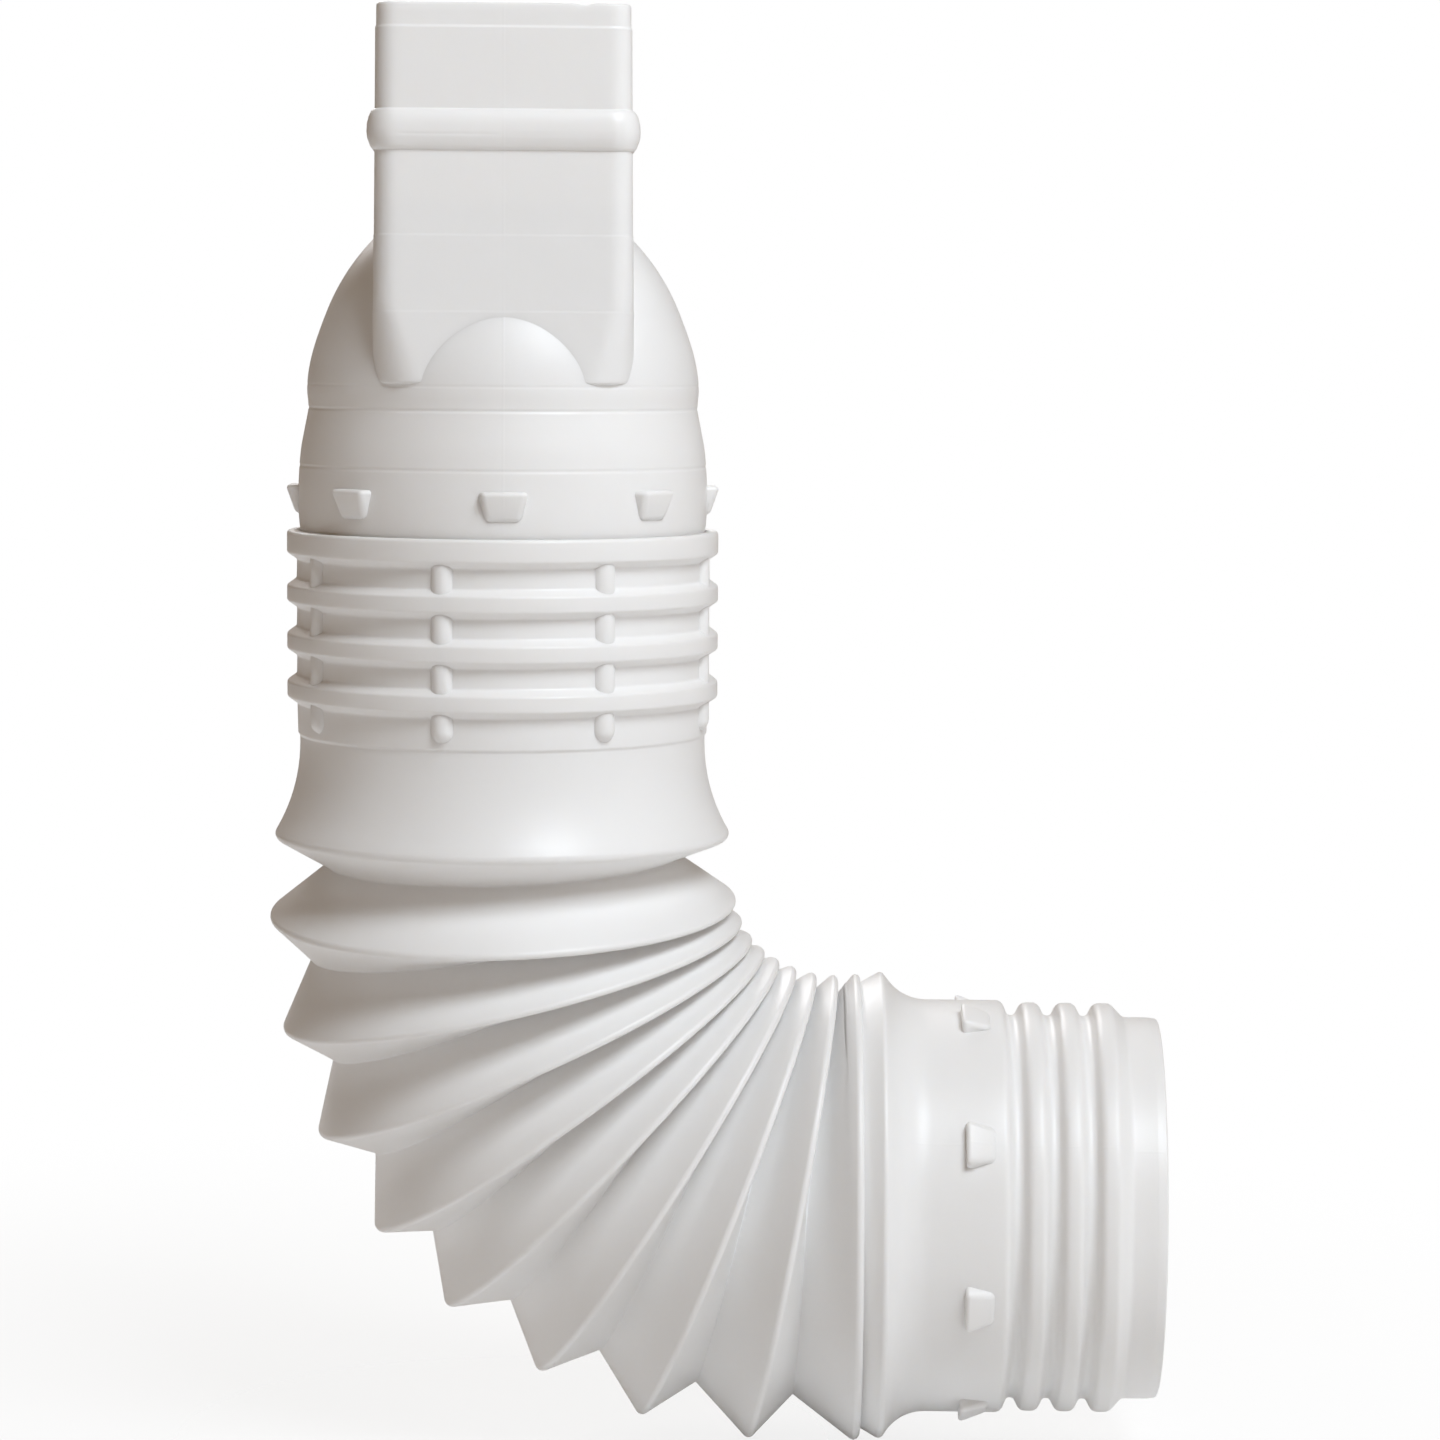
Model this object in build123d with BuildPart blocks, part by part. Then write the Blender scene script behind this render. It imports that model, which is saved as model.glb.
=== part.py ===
from build123d import *
import os
from math import atan2, cos, pi, radians, sin, sqrt

# A downspout adapter of two plastic mouldings: a head that turns a rectangular downspout into a round pipe,
# pushed into the collar of an elbow whose bellows bends the flow from straight down to level.
# Millimetres. The origin is the middle of the rectangular mouth, Z points up, and the outlet points along X.

# Fit between the two mouldings
fit_gap = 0.3
head_turn = 5.0

# Head: rectangular spigot
spigot_width = 65.8
spigot_depth = 93.2
spigot_length = 94.5
spigot_corner = 6.0
spigot_draft = 0.45
head_wall = 2.0
bead_centre = 31.3
bead_height = 10.2
bead_rise = 2.0
nick_side = 20.0
nick_width = 4.6
nick_depth = 0.5

# Outlet pipe: a drain pipe's outside, from which the other round sizes step out
outlet_radius = 50.8
collar_step = 3.05
collar_foot_step = 0.8
cuff_step = 4.25
collar_radius = outlet_radius + collar_step
collar_foot_radius = collar_radius - collar_foot_step
cuff_radius = outlet_radius + cuff_step

# Head: round dome, waist and skirt, each below the one before
dome_inset = 2.85
dome_arc = 56.5
dome_below_ledge = 2.5
waist_pinch = 0.3
waist_length = 4.5
skirt_inset = 0.45
skirt_taper = 0.4
flare_length = 15.5
skirt_length = 16.0
head_lug_below_flare = 3.0
dome_radius = collar_radius - dome_inset
dome_base = spigot_length + dome_below_ledge
waist_radius = dome_radius - waist_pinch
waist_drop = dome_base + waist_length
skirt_radius = collar_radius - skirt_inset
skirt_end_radius = skirt_radius - skirt_taper
skirt_drop = waist_drop + flare_length

# Lugs, the same on the head and on the outlet
lug_count = 8
lug_length = 7.6
lug_width = 13.0
lug_foot_width = 8.5
lug_rise = 3.2
lug_foot_rise = 0.3
lug_root = 1.5

# Collar: the ribbed socket that takes the head
collar_wall = 1.35
rib_count = 4
rib_pitch = 12.6
rib_height = 6.6
rib_top = 3.6
rib_rise = 2.5
bar_count = 8
bar_width = 6.3
bar_top = 3.4
bar_rise = 1.9
bar_foot_length = 5.6
bar_turn = -13.0
collar_foot_length = 5.5
collar_drop = skirt_drop + skirt_length
bar_drop = collar_drop + (rib_count - 1) * rib_pitch + rib_height + bar_foot_length
collar_foot_drop = bar_drop + collar_foot_length

# Head: the plain end inside the collar
plug_above_foot = 9.0
plug_wall = 2.0
plug_chamfer = 1.5
seat_taper = 5.5
plug_radius = collar_radius - collar_wall - fit_gap
plug_end = bar_drop - plug_above_foot

# Bellows
fold_wall = 1.0
fold_height = 15.6
bell_length = 24.0
bell_flare = 6.55
crest_rise = 6.75
crest_stretch = 4.2
crest_round = 2.2
crest_round_inside = 1.25
valley_round = 0.35
bell_drop = collar_foot_drop + bell_length
bell_radius = collar_foot_radius + bell_flare
crest_radius = cuff_radius + crest_rise
valley_radius = crest_radius - fold_height

# Each fold's turn in degrees and its pitch along the inside of the bend, from the collar to the outlet
bent_folds = [
    (11.7, 5.48),
    (11.0, 5.14),
    (10.9, 4.64),
    (10.8, 4.65),
    (11.9, 5.16),
    (11.6, 5.49),
    (9.7, 5.14),
    (10.9, 5.24),
]
open_turn = 1.5
open_pitch = 20.0
closed_pitch = 6.4
bend_lead = 5.0
stretch_folds = 3

# How far a valley lies in from the next crest and back from it
open_valley = (15.2, 12.6)
outside_valley = (11.2, 16.0)
inside_valley = (12.0, 10.6)
closed_valley = (12.4, 11.4)

# Outlet cuff, along its pipe from the last crest
cuff_bell_length = 12.2
cuff_lug_after_bell = 8.4
cuff_lug_turn = 17.5
ridge_after_lug = 3.8
ridge_count = 3
ridge_pitch = 9.55
ridge_floor_step = 0.1
ridge_rise = 3.65
ridge_top = 4.2
ridge_floor = 2.0
cuff_taper = 3.4
outlet_length = 9.0
outlet_lip = 0.8
cuff_wall = 1.4
cuff_lug_start = cuff_bell_length + cuff_lug_after_bell
ridge_start = cuff_lug_start + lug_length + ridge_after_lug
ridge_flank = (ridge_pitch - ridge_top - ridge_floor) / 2
ridge_end = ridge_start + ridge_count * ridge_pitch
ridge_floor_radius = outlet_radius + ridge_floor_step
ridge_top_radius = ridge_floor_radius + ridge_rise
cuff_length = ridge_end + cuff_taper + outlet_length


class Ring:
    """One hoop of the bellows: its centre and heading, and its radii across and in the plane of the bend."""

    def __init__(self, outside, inside, half_depth):
        along = outside - inside
        self.centre = (outside + inside) * 0.5
        self.reach = along.length / 2
        self.half_depth = min(half_depth, self.reach)
        self.plane = Plane(origin=self.centre, x_dir=along, z_dir=along.cross(Vector(0, 1, 0)))


class Pin:
    """A place where the bellows' wall turns round: a crest's round is positive and a valley's negative."""

    def __init__(self, outside, inside, round_outside, round_inside, half_depth, hoops, is_bell=False):
        self.outside = outside
        self.inside = inside
        self.round_outside = round_outside
        self.round_inside = round_inside
        self.half_depth = half_depth
        self.hoops = hoops
        self.is_bell = is_bell


def heading_vectors(heading):
    """The flow's direction and the direction towards the outside of the bend."""
    turn = radians(heading)
    return Vector(sin(turn), 0, -cos(turn)), Vector(-cos(turn), 0, -sin(turn))


def wall_normal(start, end, round_start, round_end, side):
    """The outward normal of the straight wall that touches the rounds about two centres."""
    span = end - start
    along = span.normalized()
    lean = (round_start - round_end) / span.length
    return along * lean + side.cross(along) * sqrt(max(0.0, 1 - lean * lean))


def pin_hoops(pin, lift, normal, next_normal, sense):
    """Where a pin's hoops cross the plane of the bend on one side, from the middle of the pin's round."""
    start = atan2(normal.Z, normal.X)
    turn = sense * (atan2(next_normal.Z, next_normal.X) - start)
    sweep_angle = sense * ((turn + pi / 2) % (2 * pi) - pi / 2)
    hoops = []
    for hoop in range(pin.hoops):
        reach = lift
        share = (hoop + 0.5) / pin.hoops
        if pin.is_bell:
            share = hoop / (pin.hoops - 1)
        elif pin.hoops > 1:
            reach = lift / cos(sweep_angle / (2 * pin.hoops))
        angle = start + share * sweep_angle
        hoops.append(Vector(cos(angle), 0, sin(angle)) * reach)
    return hoops


def side_points(pins, centres, rounds, outward, side, depth):
    """Points of one side of the bellows at a depth under its skin, and how far each lies out from its pin."""
    normals = [outward[0]]
    for i in range(len(pins) - 1):
        normals.append(wall_normal(centres[i], centres[i + 1], rounds[i], rounds[i + 1], side))
    normals.append(outward[-1])
    points = []
    for i, pin in enumerate(pins):
        sense = side.Y if rounds[i] > 0 else -side.Y
        for hoop in pin_hoops(pin, rounds[i] - depth, normals[i], normals[i + 1], sense):
            points.append((centres[i] + hoop, hoop.dot(outward[i])))
    return points


def bell_pin(place, towards, root_radius, root_distance, hoops):
    """The hollow curve of a bell, from a straight pipe out to the crest at its mouth."""
    centre, heading, span = place
    flow, outward = heading_vectors(heading)
    run = span / 2 - crest_round - root_radius
    curve = (run**2 + root_distance**2 - crest_round**2) / (2 * (run + crest_round))
    reach = root_radius + curve
    middle = centre + flow * (root_distance * towards)
    return Pin(middle + outward * reach, middle - outward * reach, -curve, -curve, reach, hoops, is_bell=True)


def crest_pin(place, round_inside, hoops):
    centre, heading, span = place
    outward = heading_vectors(heading)[1]
    half_depth = min(2 * crest_radius - span / 2, span / 2) - (crest_round + round_inside) / 2
    return Pin(
        centre + outward * (span / 2 - crest_round),
        centre - outward * (span / 2 - round_inside),
        crest_round,
        round_inside,
        half_depth,
        hoops,
    )


def valley_pin(place, outside, inside, hoops):
    """The valley before a crest: how far it lies in from that crest and back from it, on each side."""
    centre, heading, span = place
    flow, outward = heading_vectors(heading)
    return Pin(
        centre + outward * (span / 2 - outside[0] + valley_round) - flow * outside[1],
        centre - outward * (span / 2 - inside[0] + valley_round) - flow * inside[1],
        -valley_round,
        -valley_round,
        valley_radius + valley_round,
        hoops,
    )


def crest_places():
    """Centre, heading and span of each crest, from the collar's bell to the outlet's."""
    centre = Vector(0, 0, -bell_drop)
    heading = 0.0
    places = [(centre, heading, 2 * bell_radius)]
    folds = [(turn, pitch + radians(turn) * crest_radius) for turn, pitch in bent_folds]
    for turn, length in [(open_turn, open_pitch), *folds, (0, closed_pitch)]:
        middle = heading + turn / 2
        centre = centre + heading_vectors(middle + bend_lead * sin(radians(middle)))[0] * length
        heading = heading + turn
        places.append((centre, heading, 2 * crest_radius + crest_stretch * sin(2 * radians(heading))))
    return places


def bellows_pins(crest_hoops, valley_hoops, bell_hoops):
    places = crest_places()
    valleys = [open_valley, *[None] * len(bent_folds), closed_valley]
    pins = [
        bell_pin(places[0], -1, collar_foot_radius, bell_length, bell_hoops),
        crest_pin(places[0], crest_round, crest_hoops),
    ]
    for place, valley in zip(places[1:], valleys):
        pins.append(valley_pin(place, valley or outside_valley, valley or inside_valley, valley_hoops))
        round_inside = crest_round if place is places[-1] else crest_round_inside
        pins.append(crest_pin(place, round_inside, crest_hoops))
    pins.append(bell_pin(places[-1], 1, cuff_radius, cuff_bell_length, bell_hoops))
    return pins


def bellows_stretches(depth, crest_hoops, valley_hoops, bell_hoops):
    """The hoops of the outer skin, or of the bore at the wall's depth, in stretches that meet at valleys."""
    pins = bellows_pins(crest_hoops, valley_hoops, bell_hoops)
    across = [(pin.outside - pin.inside).normalized() for pin in pins]
    inward = [direction * -1 for direction in across]
    left = Vector(0, 1, 0)
    outside = side_points(
        pins, [pin.outside for pin in pins], [pin.round_outside for pin in pins], across, left, depth
    )
    inside = side_points(
        pins, [pin.inside for pin in pins], [pin.round_inside for pin in pins], inward, left * -1, depth
    )
    stretches = [[]]
    number = 0
    for place, pin in enumerate(pins):
        for hoop in range(pin.hoops):
            outer, inner = outside[number], inside[number]
            ring = Ring(outer[0], inner[0], pin.half_depth + (outer[1] + inner[1]) / 2)
            number += 1
            # A bell runs straight on into its crest, so it has no hoop of its own where they meet
            if (place == 0 and hoop == pin.hoops - 1) or (place == len(pins) - 1 and hoop == 0):
                continue
            stretches[-1].append(ring)
            if hoop == 0 and place % (2 * stretch_folds) == 2 * stretch_folds - 2 and place < len(pins) - 2:
                stretches.append([ring])
    return stretches


outlet_centre, outlet_heading, outlet_span = crest_places()[-1]
outlet_flow, outlet_outward = heading_vectors(outlet_heading)
outlet_plane = Plane(origin=outlet_centre, x_dir=outlet_flow, z_dir=(0, -1, 0))
outlet_axis = Axis(outlet_centre, outlet_flow)


def ridge_points(low, high, inset):
    """The cuff's ridges seen from the side. In the bore, inset narrows each ridge and widens each floor."""
    points = []
    for number in range(ridge_count):
        floor_start = ridge_start + ridge_flank + number * ridge_pitch
        points.append((floor_start - inset, low))
        points.append((floor_start + ridge_floor + inset, low))
        points.append((floor_start + ridge_floor + ridge_flank + inset, high))
        points.append((floor_start + ridge_floor + ridge_flank + ridge_top - inset, high))
    return points


# Lug: a wedge with a flat end, ramped towards the open end of its pipe, standing on a pipe that runs along Z
def lug_on(radius):
    with BuildPart() as lug:
        with BuildSketch(Plane.XY):
            with Locations((radius - lug_root, 0)):
                Rectangle(lug_root + lug_rise, lug_width, align=(Align.MIN, Align.CENTER))
        with BuildSketch(Plane.XY.offset(-lug_length)):
            with Locations((radius - lug_root, 0)):
                Rectangle(lug_root + lug_foot_rise, lug_foot_width, align=(Align.MIN, Align.CENTER))
        loft()
    return lug.part


# Head, solid: spigot with its bead, dome, waist, skirt and the plain end that goes into the collar
with BuildSketch(Plane.XY.offset(-bead_centre)) as bead_loop:
    RectangleRounded(spigot_width, spigot_depth, spigot_corner)
bead_path = bead_loop.sketch.face().outer_wire()
bead_along = bead_path % 0
bead_edge = (-head_wall / 2, bead_height / 2)
with BuildPart() as head_outside:
    with BuildSketch(Plane.XY.offset(-spigot_length)):
        RectangleRounded(spigot_width, spigot_depth, spigot_corner)
    extrude(amount=spigot_length, taper=spigot_draft)
    with BuildSketch(Plane(origin=bead_path @ 0, x_dir=bead_along.cross(Vector(0, 0, 1)), z_dir=bead_along)):
        with BuildLine():
            ThreePointArc((bead_edge[0], -bead_edge[1]), (bead_rise, 0), bead_edge)
            Line(bead_edge, (bead_edge[0], -bead_edge[1]))
        make_face()
    sweep(path=bead_path)
    with BuildSketch(Plane.XZ):
        with BuildLine():
            crown = (0, -dome_base + sqrt(dome_arc**2 - (dome_arc - dome_radius) ** 2))
            shoulder = (dome_radius, -dome_base)
            RadiusArc(crown, shoulder, dome_arc)
            Line(shoulder, (waist_radius, -waist_drop))
            Spline(
                (waist_radius, -waist_drop),
                (skirt_radius, -skirt_drop),
                tangents=((0.6, -1), (0, -1)),
            )
            Polyline(
                (skirt_radius, -skirt_drop),
                (skirt_end_radius, -collar_drop),
                (plug_radius, -collar_drop - seat_taper),
                (plug_radius, -plug_end + plug_chamfer),
                (plug_radius - plug_chamfer / 2, -plug_end),
                (0, -plug_end),
                crown,
            )
        make_face()
    revolve(axis=Axis.Z)
    with Locations((0, 0, -skirt_drop - head_lug_below_flare)):
        with PolarLocations(0, lug_count):
            add(lug_on(skirt_radius))

# Head, bore: the same forms one wall smaller
bore_width = spigot_width - 2 * head_wall
bore_depth = spigot_depth - 2 * head_wall
with BuildPart() as head_bore:
    with BuildSketch(Plane.XY.offset(-spigot_length + head_wall)):
        RectangleRounded(bore_width, bore_depth, spigot_corner - head_wall)
    extrude(amount=spigot_length + head_wall, taper=spigot_draft)
    with BuildSketch(Plane.XZ):
        with BuildLine():
            inner_arc = dome_arc - head_wall
            crown = (0, -dome_base + sqrt(inner_arc**2 - (dome_arc - dome_radius) ** 2))
            shoulder = (dome_radius - head_wall, -dome_base)
            RadiusArc(crown, shoulder, inner_arc)
            Polyline(
                shoulder,
                (waist_radius - head_wall, -waist_drop),
                (skirt_radius - head_wall, -skirt_drop),
                (skirt_end_radius - head_wall, -collar_drop),
                (plug_radius - plug_wall, -collar_drop - seat_taper),
                (plug_radius - plug_wall, -plug_end - head_wall),
                (0, -plug_end - head_wall),
                crown,
            )
        make_face()
    revolve(axis=Axis.Z)

# Head, finished: hollow, with the small nick in the front of its rim, turned a little in the collar
nick_round = (nick_width**2 / 4 + nick_depth**2) / (2 * nick_depth)
with BuildPart() as downspout_head:
    with Locations(Rotation(0, 0, head_turn)):
        add(head_outside.part)
        add(head_bore.part, mode=Mode.SUBTRACT)
        with Locations((nick_side, -spigot_depth / 2, nick_round - nick_depth)):
            Cylinder(nick_round, 4 * head_wall, rotation=(90, 0, 0), mode=Mode.SUBTRACT)

# Elbow, solid: collar with its ribs and bars, bellows, and the cuff with its lugs and ridges
with BuildPart() as elbow_outside:
    with BuildSketch(Plane.XZ):
        with BuildLine():
            rib_points = []
            for number in range(rib_count):
                rib_start = collar_drop + number * rib_pitch
                flank = (rib_height - rib_top) / 2
                first_flank = 0 if number == 0 else flank
                rib_points.append((collar_radius + (rib_rise if number == 0 else 0), -rib_start))
                if number:
                    rib_points.append((collar_radius + rib_rise, -rib_start - first_flank))
                rib_points.append((collar_radius + rib_rise, -rib_start - flank - rib_top))
                rib_points.append((collar_radius, -rib_start - rib_height))
            Polyline(
                (0, -collar_drop),
                *rib_points,
                (collar_radius, -bar_drop),
                (collar_foot_radius, -bar_drop - collar_foot_length / 2),
                (collar_foot_radius, -collar_foot_drop),
                (0, -collar_foot_drop),
                (0, -collar_drop),
            )
        make_face()
    revolve(axis=Axis.Z)
    for stretch in bellows_stretches(0, 2, 1, 3):
        for ring in stretch:
            with BuildSketch(ring.plane):
                Ellipse(ring.reach, ring.half_depth)
        loft(ruled=True)
    with BuildSketch(outlet_plane):
        with BuildLine():
            Polyline(
                (cuff_bell_length, 0),
                (cuff_bell_length, cuff_radius),
                (ridge_start, cuff_radius),
                *ridge_points(ridge_floor_radius, ridge_top_radius, 0),
                (ridge_end + cuff_taper, outlet_radius),
                (cuff_length - outlet_lip, outlet_radius),
                (cuff_length, outlet_radius - outlet_lip / 2),
                (cuff_length, 0),
                (cuff_bell_length, 0),
            )
        make_face()
    revolve(axis=outlet_axis)
    with BuildSketch(Plane.XY.offset(-bar_drop)):
        with Locations(Rotation(0, 0, bar_turn - 90)):
            with PolarLocations(0, bar_count):
                with BuildLine():
                    Polyline(
                        (collar_radius - lug_root, -bar_width / 2),
                        (collar_radius, -bar_width / 2),
                        (collar_radius + bar_rise, -bar_top / 2),
                        (collar_radius + bar_rise, bar_top / 2),
                        (collar_radius, bar_width / 2),
                        (collar_radius - lug_root, bar_width / 2),
                        close=True,
                    )
                make_face()
    extrude(amount=bar_drop - collar_drop - rib_top)
    cuff_lug = lug_on(cuff_radius)
    lug_centre = outlet_centre + outlet_flow * cuff_lug_start
    with Locations(Plane(origin=lug_centre, x_dir=(0, -1, 0), z_dir=outlet_flow * -1)):
        with Locations(Rotation(0, 0, cuff_lug_turn)):
            with PolarLocations(0, lug_count):
                add(cuff_lug)

# Elbow, bore
bore_radius = collar_radius - collar_wall
with BuildPart() as elbow_bore:
    with BuildSketch(Plane.XZ):
        with BuildLine():
            Polyline(
                (0, -collar_drop + collar_wall),
                (skirt_end_radius + fit_gap, -collar_drop + collar_wall),
                (skirt_end_radius + fit_gap, -collar_drop),
                (bore_radius, -collar_drop - seat_taper),
                (bore_radius, -bar_drop),
                (collar_foot_radius - fold_wall, -collar_foot_drop),
                (0, -collar_foot_drop),
                (0, -collar_drop + collar_wall),
            )
        make_face()
    revolve(axis=Axis.Z)
    for stretch in bellows_stretches(fold_wall, 1, 2, 3):
        for ring in stretch:
            with BuildSketch(ring.plane):
                Ellipse(ring.reach, ring.half_depth)
        loft(ruled=True)
    ridge_inset = cuff_wall * (ridge_top_radius - ridge_floor_radius) / (2 * ridge_flank + 3 * cuff_wall)
    bore_floor = ridge_floor_radius - cuff_wall
    bore_top = ridge_top_radius - cuff_wall
    with BuildSketch(outlet_plane):
        with BuildLine():
            Polyline(
                (cuff_bell_length, 0),
                (cuff_bell_length, cuff_radius - fold_wall),
                (cuff_lug_start, cuff_radius - cuff_wall),
                (ridge_start - ridge_inset, cuff_radius - cuff_wall),
                *ridge_points(bore_floor, bore_top, ridge_inset),
                (ridge_end + cuff_taper - ridge_inset, outlet_radius - cuff_wall),
                (cuff_length + cuff_wall, outlet_radius - cuff_wall),
                (cuff_length + cuff_wall, 0),
                (cuff_bell_length, 0),
            )
        make_face()
    revolve(axis=outlet_axis)

with BuildPart() as flex_elbow:
    add(elbow_outside.part)
    add(elbow_bore.part, mode=Mode.SUBTRACT)

os.makedirs("parts", exist_ok=True)
downspout_head.part.label = "downspout_head"
export_step(downspout_head.part, "parts/downspout_head.step")
flex_elbow.part.label = "flex_elbow"
export_step(flex_elbow.part, "parts/flex_elbow.step")
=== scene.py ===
from math import atan2, cos, pi, radians, sin, sqrt, tan

import bmesh
import bpy
from mathutils import Matrix, Quaternion, Vector


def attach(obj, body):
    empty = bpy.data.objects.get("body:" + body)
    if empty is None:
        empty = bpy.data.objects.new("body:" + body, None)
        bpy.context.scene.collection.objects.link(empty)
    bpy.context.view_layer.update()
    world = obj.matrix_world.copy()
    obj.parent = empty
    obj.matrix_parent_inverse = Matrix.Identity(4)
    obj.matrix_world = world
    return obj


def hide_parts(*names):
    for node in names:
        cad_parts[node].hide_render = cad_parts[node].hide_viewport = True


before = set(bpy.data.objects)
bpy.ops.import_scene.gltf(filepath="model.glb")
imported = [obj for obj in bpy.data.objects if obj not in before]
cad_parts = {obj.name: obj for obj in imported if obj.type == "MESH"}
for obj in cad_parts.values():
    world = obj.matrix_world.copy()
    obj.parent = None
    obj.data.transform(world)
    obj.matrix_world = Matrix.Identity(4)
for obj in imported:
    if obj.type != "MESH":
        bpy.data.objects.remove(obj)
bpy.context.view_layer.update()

# Sizes are millimetres in the frame of the CAD model, and each finished mesh is brought to metres.
# A drop is a depth below the rim of the spigot.
MM = 0.001

# The head is turned a little in the elbow's collar
HEAD_TURN = radians(5.0)

# Head: rectangular spigot, widest at its foot, where its corners are rounder too
SPIGOT_HALF_WIDTH = 32.9
SPIGOT_HALF_DEPTH = 46.6
SPIGOT_CORNER = 6.0
SMALLEST_CORNER = 1.5
LEDGE_CORNER = 13.0
LEDGE_CORNER_DROP = 74.5
SPIGOT_DRAFT = tan(radians(0.45))
LEDGE_DROP = 94.5
HEAD_WALL = 2.0
RIM_LIP = 0.35
BEAD_DROP = 31.3
BEAD_HALF_HEIGHT = 5.1
BEAD_RISE = 2.0
BEAD_FULLNESS = 0.6
NICK_SIDE = 20.0
NICK_WIDTH = 4.6
NICK_DEPTH = 0.5
NICK_REACH = 0.9

# The spigot's rounded edges: distance from the edge, and how far in the skin lies there
EDGE_LENGTH = 0.7
RIM_EDGE = [(0.0, 0.75), (0.08, 0.4), (0.3, 0.12)]
LEDGE_EDGE = [(0.35, 0.12), (0.1, 0.35), (0.0, 0.75)]

# Fine steps down the spigot: drop, length and depth. The skin lies further in above each step.
SPIGOT_STEPS = [(5.5, 0.8, 0.25), (57.1, 0.6, 0.09), (76.1, 0.6, 0.09)]

# Fine groove on the left of the bead's front
GROOVE_DROP = BEAD_DROP + 1.3
GROOVE_LEFT = -22.0
GROOVE_RIGHT = -2.0
GROOVE_HALF_WIDTH = 0.5
GROOVE_DEPTH = 0.08

# Head: round dome, waist and skirt
DOME_ARC = 56.5
DOME_RADIUS = 51.0
DOME_BASE = 97.0
SHOULDER_FLAT = 1.2
SHOULDER_DROP = 76.0
SHOULDER_FADE = 20.0
SKIRT_END = 133.0
PLUG_NECK = 6.0
PLUG_END = 174.0
PLUG_WALL = 2.0
HEAD_LUG_DROP = 121.2

# The head is two closed walls. Each sinks under the other's skin where that one stands further out, and below
# the dome's crown the spigot's wall ends inside the head's: its insets from the spigot's skin and the dome's.
DOME_TOP_DROP = 50.0
DOME_START_DROP = 49.5
HIDDEN = 1.0
BURIED_INSETS = (1.3, 1.7)
HEAD_HOOP_POINTS = 264

# Drop and radius of the round part of the head, down to the plain end in the collar
SKIRT_PROFILE = [
    (97.0, 51.0),
    (101.2, 50.7),
    (105.8, 51.5),
    (111.7, 52.6),
    (118.0, 53.15),
    (125.3, 53.4),
    (131.0, 53.1),
    (133.0, 52.8),
    (138.5, 52.2),
    (174.0, 52.2),
]

# Fine lines round the head: drop, half width and depth
HEAD_LINES = [(LEDGE_DROP + 0.6, 0.6, 0.07), (101.2, 0.7, 0.2), (116.1, 0.7, 0.14)]

# The hoops stand closer together across each fine line: how far to each side, and how far apart
LINE_REACH = 0.8
LINE_STRIDE = 0.2

# Lugs, the same on the head and on the outlet
LUG_COUNT = 8
LUG_LENGTH = 7.6
LUG_WIDTH = 11.6
LUG_FOOT_WIDTH = 8.2
LUG_SPLAY = 1.15
LUG_RISE = 3.2
LUG_FOOT_RISE = 0.6
LUG_ROOT = 1.5
LUG_BEVEL = 1.35
LUG_BEVEL_STEPS = 5

# Collar
COLLAR_TOP = 133.0
COLLAR_RADIUS = 53.85
COLLAR_FOOT_RADIUS = 53.05
COLLAR_FOOT = 188.5
COLLAR_WALL = 1.35
COLLAR_LIP = 0.6
COLLAR_LIP_DEPTH = 0.5
COLLAR_MOUTH_DEPTH = 5.5
COLLAR_TAPER = 0.3
COLLAR_ROUND = 1.0
COLLAR_BORE_ROUND = 0.8
RIB_COUNT = 4
RIB_PITCH = 12.5
RIB_HEIGHT = 7.5
RIB_TOP = 3.9
RIB_RISE = 2.5
RIB_FOOT_SINK = 0.1
BAR_COUNT = 8
BAR_WIDTH = 6.3
BAR_RISE = 1.8
BAR_END = 184.4
BAR_TURN = radians(-11.5)
BAR_START_IN_RIB = 1.0
BAR_END_IN_RIB = 2.0
FOOT_STEP = 186.5
FOOT_STEP_LENGTH = 0.6

# Bellows
FOLD_WALL = 1.0
BELL_DROP = 212.5
BELL_SPAN = 119.2
CREST_DIAMETER = 122.4
CREST_STRETCH = 3.8
CREST_ROUND = 1.5
CREST_ROUND_INSIDE = 1.1
VALLEY_ROUND = 0.35
VALLEY_RADIUS = 44.8
CLOSED_VALLEY_RADIUS = 56.0

# Each fold's turn in degrees and its pitch along the inside of the bend, from the collar to the outlet
BENT_FOLDS = [
    (11.5, 5.6),
    (11.1, 5.4),
    (11.4, 4.8),
    (10.5, 4.85),
    (11.5, 5.0),
    (11.0, 5.6),
    (11.0, 5.6),
    (10.5, 5.7),
]
OPEN_TURN = 1.5
OPEN_PITCH = 19.75
CLOSED_PITCH = 6.5
BEND_LEAD = 5.5

# How far a valley lies in from the next crest and back from it
OPEN_VALLEY = (15.2, 12.6)
OUTSIDE_VALLEY = (11.2, 16.0)
INSIDE_VALLEY = (12.0, 10.6)
CLOSED_VALLEY = (4.6, 8.6)

# The fronts of the hoops lean a little along the flow: drop and slope. Past a place on X the lean fades out.
LEAN_PROFILE = [
    (209.0, 0.0),
    (212.5, 0.0),
    (222.0, 0.05),
    (232.0, 0.078),
    (250.0, 0.05),
    (266.0, 0.036),
    (310.0, 0.026),
]
LEAN_FADE_START = 108.0
LEAN_FADE_LENGTH = 60.0

# Hoops round each crest, valley and bell, and the longest wall between hoops, on the skin and in the bore
SKIN_HOOPS = (6, 4, 12)
SKIN_STRIDE = 8.0
BORE_HOOPS = (3, 4, 6)
BORE_STRIDE = 12.0
NEAREST_HOOPS = 0.02
ELBOW_HOOP_POINTS = 160

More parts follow.
